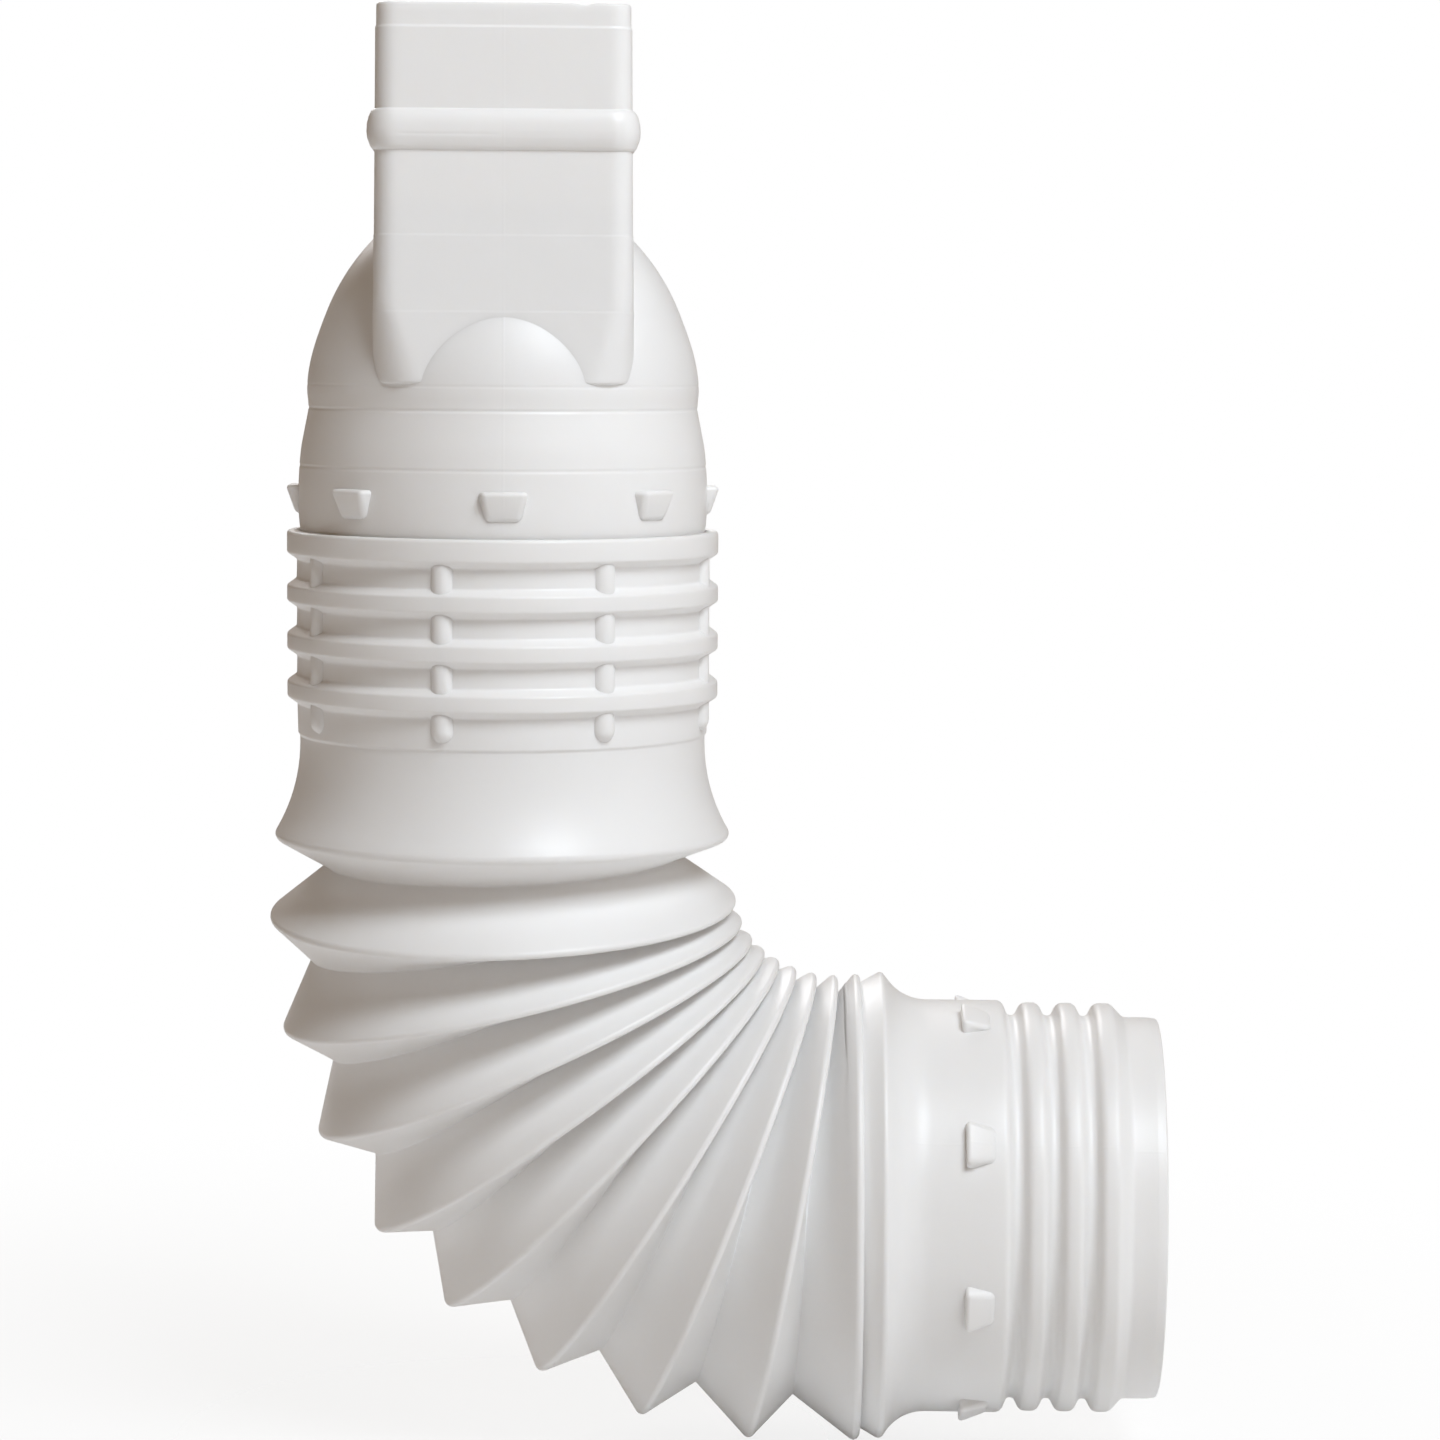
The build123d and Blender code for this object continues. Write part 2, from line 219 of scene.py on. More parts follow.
# Outlet cuff, measured along X from the last crest
CUFF_BELL = 12.2
CUFF_RADIUS = 54.1
CUFF_WALL = 1.4
CUFF_ROUND = 2.2
CUFF_BORE_ROUND = 1.3
CUFF_LUG_START = 20.6
CUFF_LUG_TURN = radians(28)
RIDGE_START = 32.0
RIDGE_COUNT = 3
RIDGE_PITCH = 9.55
RIDGE_FLOOR_RADIUS = 50.2
RIDGE_TOP_RADIUS = 53.6
RIDGE_TOP = 4.2
RIDGE_FLOOR = 2.0
RIDGE_END = RIDGE_START + RIDGE_COUNT * RIDGE_PITCH
CUFF_TAPER = 3.4
OUTLET_RADIUS = 50.0
OUTLET_LENGTH = 9.0
OUTLET_BORE_LEAD = 0.8
OUTLET_LIP = 0.35
OUTLET_LIP_LENGTH = 2.5
CUFF_LENGTH = RIDGE_END + CUFF_TAPER + OUTLET_LENGTH

# Vertices closer than this are joined where a wall closes on itself
WELD = 1e-5

# Plastic: its colour, the mould line's half width and where on X it starts, and the size of ripple and grain
PLASTIC_WHITE = "#F1F0EF"
MOULD_LINE_HALF_WIDTH = 0.5
MOULD_LINE_HEAD_START = -200.0
MOULD_LINE_CUFF_START = 108.0
RIPPLE_SIZE = 14.0
GRAIN_SIZE = 0.9

# Stage and camera, in metres
FLOOR_MIDDLE = (0.05, 0, -0.3755)
FLOOR_RADIUS = 2.5
FLOOR_FADE_START = 0.2
FLOOR_FADE_END = 0.6
FLOOR_GLOW = 0.72
LAMP_TARGET = (0.05, 0, -0.2)
CAMERA_PLACE = Vector((94.8, -1077.37, -83.07)) * MM
CAMERA_LOOK = Vector((-0.0348, 0.9952, -0.0918))
CAMERA_ROLL = radians(0.37)
SENSOR_WIDTH = 36.0
LENS = 103.1


def linear(hex_colour):
    """An sRGB hex colour as linear red, green, blue and alpha."""
    channels = [int(hex_colour[i : i + 2], 16) / 255 for i in (1, 3, 5)]
    return [c / 12.92 if c <= 0.04045 else ((c + 0.055) / 1.055) ** 2.4 for c in channels] + [1.0]


def add_node(tree, kind, settings=None, numbered=None, **named):
    """Adds a shader node and sets its properties; each socket, by number or name, gets a value or a link."""
    node = tree.nodes.new(kind)
    for name, value in (settings or {}).items():
        setattr(node, name, value)
    sockets = {name.replace("_", " "): value for name, value in named.items()}
    for key, value in {**sockets, **(numbered or {})}.items():
        if isinstance(value, bpy.types.NodeSocket):
            tree.links.new(value, node.inputs[key])
        else:
            node.inputs[key].default_value = value
    return node


# Hoops and walls

def closed_wall(bm, hoops, points):
    """A wall through hoops and back to the first. A hoop is a function that places its numbered points."""
    grid = bmesh.ops.create_grid(bm, x_segments=points, y_segments=len(hoops), size=1.0)["verts"]
    for vert in grid:
        number = round((vert.co.x + 1) / 2 * points) % points
        row = round((vert.co.y + 1) / 2 * len(hoops)) % len(hoops)
        vert.co = hoops[row](number)
    bmesh.ops.remove_doubles(bm, verts=grid, dist=WELD)


def finished(name, bm, material, node):
    """Makes the mesh an object in metres that stands for a CAD node."""
    bmesh.ops.scale(bm, vec=(MM, MM, MM), verts=bm.verts)
    bmesh.ops.recalc_face_normals(bm, faces=bm.faces)
    for face in bm.faces:
        face.smooth = True
    mesh = bpy.data.meshes.new(name)
    bm.to_mesh(mesh)
    bm.free()
    mesh.materials.append(material)
    piece = bpy.data.objects.new(name, mesh)
    bpy.context.scene.collection.objects.link(piece)
    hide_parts(node)
    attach(piece, "root")
    return piece


def eased(value):
    """A smooth step from 0 to 1."""
    value = min(1.0, max(0.0, value))
    return value * value * (3 - 2 * value)


def along_profile(profile, place):
    """The radius at a place along a profile of (place, radius) points, on a smooth curve through them."""
    last = len(profile) - 1
    number = next((i for i in range(last) if place <= profile[i + 1][0]), last - 1)
    before, start, end, after = (profile[min(last, max(0, number + i))] for i in (-1, 0, 1, 2))
    length = end[0] - start[0]
    share = (place - start[0]) / length
    rise_in = (end[1] - before[1]) / (end[0] - before[0]) * length
    rise_out = (after[1] - start[1]) / (after[0] - start[0]) * length
    square, cube = share**2, share**3
    return (
        (2 * cube - 3 * square + 1) * start[1]
        + (cube - 2 * square + share) * rise_in
        + (3 * square - 2 * cube) * end[1]
        + (cube - square) * rise_out
    )


def rounded_corners(points, radius, steps=4):
    """An open chain of points with each inner corner rounded off, by no more than the sides allow."""
    chain = [Vector(points[0])]
    for before, corner, after in zip(points, points[1:], points[2:]):
        corner = Vector(corner)
        back = Vector(before) - corner
        ahead = Vector(after) - corner
        turn = pi - back.angle(ahead)
        if turn < radians(2):
            chain.append(corner)
            continue
        cut = min(radius * tan(turn / 2), 0.49 * back.length, 0.49 * ahead.length)
        start = corner + back.normalized() * cut
        end = corner + ahead.normalized() * cut
        for step in range(steps + 1):
            share = step / steps
            chain.append(start * (1 - share) ** 2 + corner * 2 * share * (1 - share) + end * share**2)
    chain.append(Vector(points[-1]))
    return chain


def divided(chain, longest):
    """The chain with long sides divided, so that no side is longer than given."""
    result = [chain[0]]
    for start, end in zip(chain, chain[1:]):
        pieces = max(1, round((end - start).length / longest))
        result += [start.lerp(end, number / pieces) for number in range(1, pieces + 1)]
    return result


# Lug: a wedge with a flat end, ramped towards the open end of its pipe, on a pipe that runs along Z

def add_lug(bm, radius, matrix):
    solid = bmesh.ops.create_cube(bm, size=1.0)["verts"]
    for vert in solid:
        is_foot = vert.co.z < 0
        is_root = vert.co.x < 0
        width = LUG_FOOT_WIDTH if is_foot else LUG_WIDTH
        splay = LUG_SPLAY if is_root else 1.0
        rise = LUG_FOOT_RISE if is_foot else LUG_RISE
        reach = radius - LUG_ROOT if is_root else radius + rise
        drop = -LUG_LENGTH if is_foot else 0.0
        vert.co = Vector((reach, (width / 2 if vert.co.y > 0 else -width / 2) * splay, drop))
    edges = list(dict.fromkeys(edge for vert in solid for edge in vert.link_edges))
    made = bmesh.ops.bevel(
        bm, geom=edges, offset=LUG_BEVEL, segments=LUG_BEVEL_STEPS, affect="EDGES", profile=0.5, material=-1
    )
    verts = [vert for face in made["faces"] for vert in face.verts]
    verts += [vert for vert in solid if vert.is_valid]
    bmesh.ops.transform(bm, matrix=matrix, verts=list(dict.fromkeys(verts)))


# Head

def box_reach(angle, half_width, half_depth, corner):
    """How far a ray from the middle of a rounded rectangle runs to its outline."""
    across, along = abs(cos(angle)), abs(sin(angle))
    if across > 1e-9 and half_width * along / across <= half_depth - corner:
        return half_width / across
    if along > 1e-9 and half_depth * across / along <= half_width - corner:
        return half_depth / along
    middle = Vector((half_width - corner, half_depth - corner))
    reach = middle.x * across + middle.y * along
    return reach + sqrt(max(0.0, reach * reach - middle.length_squared + corner * corner))


def fine_line(drop, place, half_width, depth):
    """How deep a shallow rounded line lies in the wall at a drop."""
    share = (drop - place) / half_width
    return depth * (1 + cos(pi * share)) / 2 if abs(share) < 1 else 0.0


def spigot_relief(angle, drop):
    """The steps down the spigot's skin, its bead, and the fine groove on the left of the bead's front."""
    relief = -sum(depth * (1 - eased((drop - start) / length)) for start, length, depth in SPIGOT_STEPS)
    bead = (drop - BEAD_DROP) / BEAD_HALF_HEIGHT
    if abs(bead) < 1:
        relief += BEAD_RISE * (1 - bead**2) ** BEAD_FULLNESS
        across = SPIGOT_HALF_DEPTH * cos(angle)
        if sin(angle) < 0 and GROOVE_LEFT < across < GROOVE_RIGHT:
            relief -= fine_line(drop, GROOVE_DROP, GROOVE_HALF_WIDTH, GROOVE_DEPTH)
    return relief


def dome_radius(drop):
    """The outside of the round part of the head, or nothing above its crown."""
    lines = sum(fine_line(drop, *line) for line in HEAD_LINES)
    if drop >= DOME_BASE:
        return along_profile(SKIRT_PROFILE, drop) - lines
    reach = DOME_ARC**2 - (DOME_BASE - drop) ** 2
    if reach <= 0:
        return 0.0
    flattened = SHOULDER_FLAT * (1 - eased((drop - SHOULDER_DROP) / SHOULDER_FADE))
    return sqrt(reach) - (DOME_ARC - DOME_RADIUS) - flattened - lines


def spigot_reach(angle, drop, inset, relief=0.0):
    """How far the spigot's skin lies from its axis, less an inset; its corners widen towards the ledge."""
    offset = relief - SPIGOT_DRAFT * (LEDGE_DROP - drop) - inset
    widened = min(1.0, max(0.0, (drop - LEDGE_CORNER_DROP) / (LEDGE_DROP - LEDGE_CORNER_DROP)))
    corner = max(SMALLEST_CORNER, SPIGOT_CORNER + (LEDGE_CORNER - SPIGOT_CORNER) * widened + offset)
    return box_reach(angle, SPIGOT_HALF_WIDTH + offset, SPIGOT_HALF_DEPTH + offset, corner)


def head_point(angle, drop, reach):
    """A point of the head, with the nick in the front of its rim and the head's turn in the collar."""
    height = -drop
    x, y = reach * cos(angle), reach * sin(angle)
    share = (x - NICK_SIDE) / (NICK_WIDTH / 2)
    if y < 0 and drop < NICK_REACH and abs(share) < 1:
        height -= NICK_DEPTH * (1 - share**2) * (1 - drop)
    turn = HEAD_TURN
    return Vector((x * cos(turn) - y * sin(turn), x * sin(turn) + y * cos(turn), height))


def even_angles(points):
    """Angles of points spread evenly round the spigot's outline, so that its corners get their share."""
    fine = 7200
    lengths = [0.0]
    last = None
    for step in range(fine + 1):
        angle = -pi + 2 * pi * step / fine
        reach = box_reach(angle, SPIGOT_HALF_WIDTH, SPIGOT_HALF_DEPTH, SPIGOT_CORNER)
        here = Vector((reach * cos(angle), reach * sin(angle)))
        if last is not None:
            lengths.append(lengths[-1] + (here - last).length)
        last = here
    angles = []
    step = 0
    for number in range(points):
        target = lengths[-1] * number / points
        while lengths[step + 1] < target:
            step += 1
        angles.append(-pi + 2 * pi * step / fine)
    return angles


def drops_between(start, end, step, lines=()):
    """Even drops down the wall, and closer ones across each fine line."""
    count = round((end - start) / step)
    drops = {round(start + (end - start) * number / count, 3) for number in range(count + 1)}
    count = round(2 * LINE_REACH / LINE_STRIDE)
    for line in lines:
        drops |= {round(line - LINE_REACH + number * LINE_STRIDE, 3) for number in range(count + 1)}
    return sorted(drop for drop in drops if start <= drop <= end)


def head_hoop(angles, drop, reach_at):
    """A hoop of the head, from a function that gives the reach at an angle."""

    def place(number):
        return head_point(angles[number], drop, reach_at(angles[number]))

    return place


def spigot_hoops(angles):
    """The spigot's wall, which sinks under the dome's skin wherever the dome stands out of the spigot."""

    def skin(drop, edge=0.0):
        under_dome = dome_radius(drop) - HIDDEN

        def reach(angle):
            return max(spigot_reach(angle, drop, edge, spigot_relief(angle, drop)), under_dome)

        return head_hoop(angles, drop, reach)

    def inside(drop, spigot_inset, dome_inset):
        under_dome = dome_radius(drop) - dome_inset
        return head_hoop(angles, drop, lambda angle: max(spigot_reach(angle, drop, spigot_inset), under_dome))

    lines = [start + length / 2 for start, length, _ in SPIGOT_STEPS]
    lines += [GROOVE_DROP, BEAD_DROP - BEAD_HALF_HEIGHT, BEAD_DROP + BEAD_HALF_HEIGHT]
    upper = drops_between(EDGE_LENGTH, DOME_TOP_DROP, step=1.8, lines=lines)
    lower = drops_between(DOME_TOP_DROP + 0.8, LEDGE_DROP - EDGE_LENGTH, step=0.9, lines=lines)
    buried = drops_between(DOME_TOP_DROP, LEDGE_DROP, step=1.6)
    bore = drops_between(0.3, DOME_TOP_DROP, step=4.0)
    hoops = [skin(drop, edge) for drop, edge in RIM_EDGE]
    hoops += [skin(drop) for drop in upper + lower]
    hoops += [skin(LEDGE_DROP - distance, edge) for distance, edge in LEDGE_EDGE]
    hoops += [inside(drop, *BURIED_INSETS) for drop in buried[::-1]]
    hoops += [inside(drop, HEAD_WALL, HEAD_WALL) for drop in bore[::-1]]
    hoops.append(inside(0.0, HEAD_WALL - RIM_LIP, HEAD_WALL))
    return hoops


def dome_hoops(angles):
    """The dome's wall with the waist, skirt and plug, which starts inside the spigot's wall."""

    def hoop(drop, inset, spigot_inset=None):
        dome = dome_radius(drop) - inset
        if spigot_inset is None:
            return head_hoop(angles, drop, lambda angle: dome)
        return head_hoop(angles, drop, lambda angle: max(dome, spigot_reach(angle, drop, spigot_inset)))

    dome = drops_between(DOME_START_DROP, LEDGE_DROP - 0.1, step=0.8)
    skirt = drops_between(LEDGE_DROP, SKIRT_END + 0.2, step=1.0, lines=[line[0] for line in HEAD_LINES])
    plug = drops_between(SKIRT_END + 1.0, PLUG_END, step=5.0)
    plug_bore = drops_between(SKIRT_END + PLUG_NECK, PLUG_END, step=9.0)
    skirt_bore = drops_between(LEDGE_DROP - HEAD_WALL + 0.1, SKIRT_END, step=3.0)
    dome_bore = drops_between(DOME_TOP_DROP + 0.05, LEDGE_DROP - HEAD_WALL, step=1.8)
    hoops = [hoop(drop, 0.0, HIDDEN) for drop in dome]
    hoops += [hoop(drop, 0.0) for drop in skirt + plug]
    hoops += [hoop(drop, PLUG_WALL) for drop in plug_bore[::-1]]
    hoops += [hoop(drop, HEAD_WALL) for drop in skirt_bore[::-1]]
    hoops += [hoop(drop, HEAD_WALL, HEAD_WALL) for drop in dome_bore[::-1]]
    hoops.append(hoop(DOME_START_DROP, HEAD_WALL, HEAD_WALL - 0.3))
    return hoops


def make_head(material):
    """The head: its lugs, its spigot and its dome, each a closed mesh sunk in its neighbour."""
    bm = bmesh.new()
    for number in range(LUG_COUNT):
        turn = HEAD_TURN + number * 2 * pi / LUG_COUNT
        matrix = Matrix.Rotation(turn, 4, "Z") @ Matrix.Translation((0, 0, -HEAD_LUG_DROP))
        add_lug(bm, along_profile(SKIRT_PROFILE, HEAD_LUG_DROP), matrix)
    angles = even_angles(HEAD_HOOP_POINTS)
    closed_wall(bm, spigot_hoops(angles), HEAD_HOOP_POINTS)
    closed_wall(bm, dome_hoops(angles), HEAD_HOOP_POINTS)
    return finished("head_moulding", bm, material, "downspout_head")


# Elbow

class Pin:
    """A place where the bellows' wall turns round: a crest has positive rounds and a valley negative ones."""

    def __init__(self, outside, inside, rounds, half_depth, hoops):
        self.ends = (outside, inside)
        self.rounds = rounds
        self.half_depth = half_depth
        self.hoops = hoops


def heading_vectors(heading):
    """The flow's direction and the direction towards the outside of the bend."""
    turn = radians(heading)
    return Vector((sin(turn), 0, -cos(turn))), Vector((-cos(turn), 0, -sin(turn)))


def bell_pin(place, towards, root_radius, root_distance, hoops):
    """The hollow curve of a bell, from a straight pipe out to the crest at its mouth."""
    centre, heading, span = place
    flow, outward = heading_vectors(heading)
    run = span / 2 - CREST_ROUND - root_radius
    curve = (run**2 + root_distance**2 - CREST_ROUND**2) / (2 * (run + CREST_ROUND))
    reach = root_radius + curve
    middle = centre + flow * (root_distance * towards)
    return Pin(middle + outward * reach, middle - outward * reach, (-curve, -curve), reach, hoops)


def crest_pin(place, round_inside, hoops):
    """A crest, as deep across the bend as its stretch in the plane of the bend leaves it."""
    centre, heading, span = place
    outward = heading_vectors(heading)[1]
    half_depth = min(CREST_DIAMETER - span / 2, span / 2) - (CREST_ROUND + round_inside) / 2
    outside = centre + outward * (span / 2 - CREST_ROUND)
    inside = centre - outward * (span / 2 - round_inside)
    return Pin(outside, inside, (CREST_ROUND, round_inside), half_depth, hoops)


def valley_pin(place, outside, inside, radius, hoops):
    """The valley before a crest: how far it lies in from that crest and back from it, on each side."""
    centre, heading, span = place
    flow, outward = heading_vectors(heading)
    outside_end = centre + outward * (span / 2 - outside[0] + VALLEY_ROUND) - flow * outside[1]
    inside_end = centre - outward * (span / 2 - inside[0] + VALLEY_ROUND) - flow * inside[1]
    return Pin(outside_end, inside_end, (-VALLEY_ROUND, -VALLEY_ROUND), radius + VALLEY_ROUND, hoops)


def crest_places():
    """Centre, heading and span of each crest, from the collar's bell to the outlet's."""
    centre = Vector((0, 0, -BELL_DROP))
    heading = 0.0
    places = [(centre, heading, BELL_SPAN)]
    folds = [(turn, pitch + radians(turn) * CREST_DIAMETER / 2) for turn, pitch in BENT_FOLDS]
    for turn, length in [(OPEN_TURN, OPEN_PITCH), *folds, (0.0, CLOSED_PITCH)]:
        middle = heading + turn / 2
        centre = centre + heading_vectors(middle + BEND_LEAD * sin(radians(middle)))[0] * length
        heading += turn
        places.append((centre, heading, CREST_DIAMETER + CREST_STRETCH * sin(2 * radians(heading))))
    return places


def bellows_pins(crest_hoops, valley_hoops, bell_hoops):
    """Every place where the bellows' wall turns round, from the collar's bell to the outlet's."""
    places = crest_places()
    valleys = [OPEN_VALLEY, *[None] * len(BENT_FOLDS), CLOSED_VALLEY]
    pins = [bell_pin(places[0], -1, COLLAR_FOOT_RADIUS, BELL_DROP - COLLAR_FOOT, bell_hoops)]
    pins.append(crest_pin(places[0], CREST_ROUND, crest_hoops))
    for place, valley in zip(places[1:], valleys):
        radius = CLOSED_VALLEY_RADIUS if valley == CLOSED_VALLEY else VALLEY_RADIUS
        outside, inside = valley or OUTSIDE_VALLEY, valley or INSIDE_VALLEY
        pins.append(valley_pin(place, outside, inside, radius, valley_hoops))
        pins.append(crest_pin(place, CREST_ROUND_INSIDE, crest_hoops))
    pins.append(bell_pin(places[-1], 1, CUFF_RADIUS, CUFF_BELL, bell_hoops))
    return pins


def side_points(pins, side, depth):
    """One side of the bellows at a depth under its skin: each point, and how far it lies out from its pin."""
    outward = [(pin.ends[side] - pin.ends[1 - side]).normalized() for pin in pins]
    left = Vector((0, 1 if side == 0 else -1, 0))
    normals = [outward[0]]
    for pin, after in zip(pins, pins[1:]):
        span = after.ends[side] - pin.ends[side]
        lean = (pin.rounds[side] - after.rounds[side]) / span.length
        along = span.normalized()
        normals.append(along * lean + left.cross(along) * sqrt(max(0.0, 1 - lean**2)))
    normals.append(outward[-1])
    points = []
    for number, pin in enumerate(pins):
        normal, other = normals[number], normals[number + 1]
        start = atan2(normal.z, normal.x)
        sense = left.y if pin.rounds[side] > 0 else -left.y
        turned = sense * (atan2(other.z, other.x) - start)
        sweep = sense * ((turned + pi / 2) % (2 * pi) - pi / 2)
        for step in range(pin.hoops):
            angle = start + sweep * step / (pin.hoops - 1)
            lift = Vector((cos(angle), 0, sin(angle))) * (pin.rounds[side] - depth)
            points.append((pin.ends[side] + lift, lift.dot(outward[number])))
    return points


def bellows_rings(depth, crest_hoops, valley_hoops, bell_hoops):
    """The ends of each hoop's diameter in the plane of the bend, and its half depth across that plane."""
    pins = bellows_pins(crest_hoops, valley_hoops, bell_hoops)
    outside = side_points(pins, 0, depth)
    inside = side_points(pins, 1, depth)
    depths = [pin.half_depth for pin in pins for _ in range(pin.hoops)]
    rings = []
    for outer, inner, half_depth in zip(outside, inside, depths):
        ring = (outer[0], inner[0], half_depth + (outer[1] + inner[1]) / 2)
        if not rings or (ring[0] - rings[-1][0]).length + (ring[1] - rings[-1][1]).length > NEAREST_HOOPS:
            rings.append(ring)
    return rings


def pipe_rings(centre, heading, profile):
    """Round hoops along a straight pipe, from a profile of (distance, radius)."""
    flow, outward = heading_vectors(heading)
    return [
        (centre + flow * distance + outward * radius, centre + flow * distance - outward * radius, radius)
        for distance, radius in profile
    ]


def divided_rings(rings, longest):
    """The rings with the long straight walls between them divided."""
    result = [rings[0]]
    for start, end in zip(rings, rings[1:]):
        pieces = max(1, round(max((end[0] - start[0]).length, (end[1] - start[1]).length) / longest))
        for number in range(1, pieces + 1):
            share = number / pieces
            half_depth = start[2] + (end[2] - start[2]) * share
            result.append((start[0].lerp(end[0], share), start[1].lerp(end[1], share), half_depth))
    return result


def collar_profile():
    """The collar's skin, from its rim over the ribs to its foot."""
    flank = (RIB_HEIGHT - RIB_TOP) / 2
    points = [(COLLAR_TOP, COLLAR_RADIUS - COLLAR_LIP), (COLLAR_TOP, COLLAR_RADIUS + RIB_RISE)]
    for number in range(RIB_COUNT):
        start = COLLAR_TOP + number * RIB_PITCH
        if number:
            points.append((start, COLLAR_RADIUS))
            points.append((start + flank, COLLAR_RADIUS + RIB_RISE))
        points.append((start + flank + RIB_TOP, COLLAR_RADIUS + RIB_RISE))
        points.append((start + RIB_HEIGHT, COLLAR_RADIUS - RIB_FOOT_SINK))
    points.append((FOOT_STEP - FOOT_STEP_LENGTH, COLLAR_RADIUS - COLLAR_TAPER))
    points.append((FOOT_STEP, COLLAR_FOOT_RADIUS))
    points.append((COLLAR_FOOT, COLLAR_FOOT_RADIUS))
    return divided(rounded_corners(points, COLLAR_ROUND), longest=4.0)


def ridge_points(low, high, inset):
    """The outlet's ridges between two radii; the inset makes the floors wider and the tops narrower."""
    flank = (RIDGE_PITCH - RIDGE_TOP - RIDGE_FLOOR) / 2
    points = []
    for number in range(RIDGE_COUNT):
        floor_start = RIDGE_START + flank + number * RIDGE_PITCH
        points.append((floor_start - inset, low))
        points.append((floor_start + RIDGE_FLOOR + inset, low))
        points.append((floor_start + RIDGE_FLOOR + flank + inset, high))
        points.append((floor_start + RIDGE_FLOOR + flank + RIDGE_TOP - inset, high))
    return points


def cuff_profile():
    """The cuff's skin, from the last bell over the ridges to the end of the pipe."""
    points = [(CUFF_BELL, CUFF_RADIUS), (RIDGE_START, CUFF_RADIUS)]
    points += ridge_points(RIDGE_FLOOR_RADIUS, RIDGE_TOP_RADIUS, 0.0)
    points += [(RIDGE_END + CUFF_TAPER, OUTLET_RADIUS), (CUFF_LENGTH - OUTLET_LIP_LENGTH, OUTLET_RADIUS)]
    points += [(CUFF_LENGTH, OUTLET_RADIUS - OUTLET_LIP), (CUFF_LENGTH, OUTLET_RADIUS - CUFF_WALL)]
    return divided(rounded_corners(points, CUFF_ROUND), longest=4.0)


def cuff_bore_profile():
    """The cuff's bore, from the end of the pipe back to the last bell."""
    inset = CUFF_WALL / 2
    bore = OUTLET_RADIUS - CUFF_WALL
    points = [(CUFF_LENGTH, bore), (RIDGE_END + CUFF_TAPER - OUTLET_BORE_LEAD, bore)]
    points += ridge_points(RIDGE_FLOOR_RADIUS - CUFF_WALL, RIDGE_TOP_RADIUS - CUFF_WALL, inset)[::-1]
    points += [(RIDGE_START - inset, CUFF_RADIUS - CUFF_WALL), (CUFF_LUG_START, CUFF_RADIUS - CUFF_WALL)]
    points += [(CUFF_BELL, CUFF_RADIUS - FOLD_WALL)]
    return divided(rounded_corners(points, CUFF_BORE_ROUND, steps=2), longest=6.0)


def collar_bore_profile():
    """The collar's bore, from its foot up to the rim that takes the head."""
    bore = COLLAR_RADIUS - COLLAR_WALL
    points = [(COLLAR_FOOT, COLLAR_FOOT_RADIUS - FOLD_WALL), (BAR_END, bore)]
    points.append((COLLAR_TOP + COLLAR_MOUTH_DEPTH, bore))
    points += [(COLLAR_TOP + depth, COLLAR_RADIUS - COLLAR_LIP) for depth in (COLLAR_LIP_DEPTH, 0.0)]
    return divided(rounded_corners(points, COLLAR_BORE_ROUND, steps=3), longest=6.0)


def add_bar(bm, start, end, angle):
    """A half-round bar with domed ends along the collar, sunk in it: a ball with its halves drawn apart."""
    half = BAR_WIDTH / 2
    straight = (end - start) / 2 - half
    ball = bmesh.ops.create_uvsphere(bm, u_segments=20, v_segments=12, radius=half)["verts"]
    for vert in ball:
        is_upper = vert.co.z > 0.01 * half
        vert.co.z += straight if is_upper else -straight
    place = Matrix.Translation((COLLAR_RADIUS + BAR_RISE - half, 0, -(start + end) / 2))
    bmesh.ops.transform(bm, matrix=Matrix.Rotation(angle, 4, "Z") @ place, verts=ball)


def elbow_rings(outlet, heading):
    """All hoops of the elbow: down its skin from the collar to the outlet, and back up its bore."""
    rim = Vector((0, 0, 0))
    rings = pipe_rings(rim, 0.0, collar_profile())
    rings += divided_rings(bellows_rings(0.0, *SKIN_HOOPS), SKIN_STRIDE)[1:]
    rings += pipe_rings(outlet, heading, cuff_profile())[1:]
    rings += pipe_rings(outlet, heading, cuff_bore_profile())
    rings += divided_rings(bellows_rings(FOLD_WALL, *BORE_HOOPS), BORE_STRIDE)[::-1][1:]
    rings += pipe_rings(rim, 0.0, collar_bore_profile())[1:-1]
    return rings


def front_lean(centre):
    """The slope of a hoop's front along the flow."""
    drop = min(LEAN_PROFILE[-1][0], max(BELL_DROP, -centre.z))
    return along_profile(LEAN_PROFILE, drop) * (1 - eased((centre.x - LEAN_FADE_START) / LEAN_FADE_LENGTH))


def ring_hoop(ring):
    """A hoop of the elbow, as a function that places its numbered points."""
    outer, inner, half_depth = ring
    centre = (outer + inner) / 2
    arm = (outer - inner) / 2
    across = Vector((0, 1, 0)) - Vector((-arm.z, 0, arm.x)).normalized() * front_lean(centre)

    def place(number):
        angle = 2 * pi * number / ELBOW_HOOP_POINTS
        return centre + arm * cos(angle) + across * (half_depth * sin(angle))

    return place


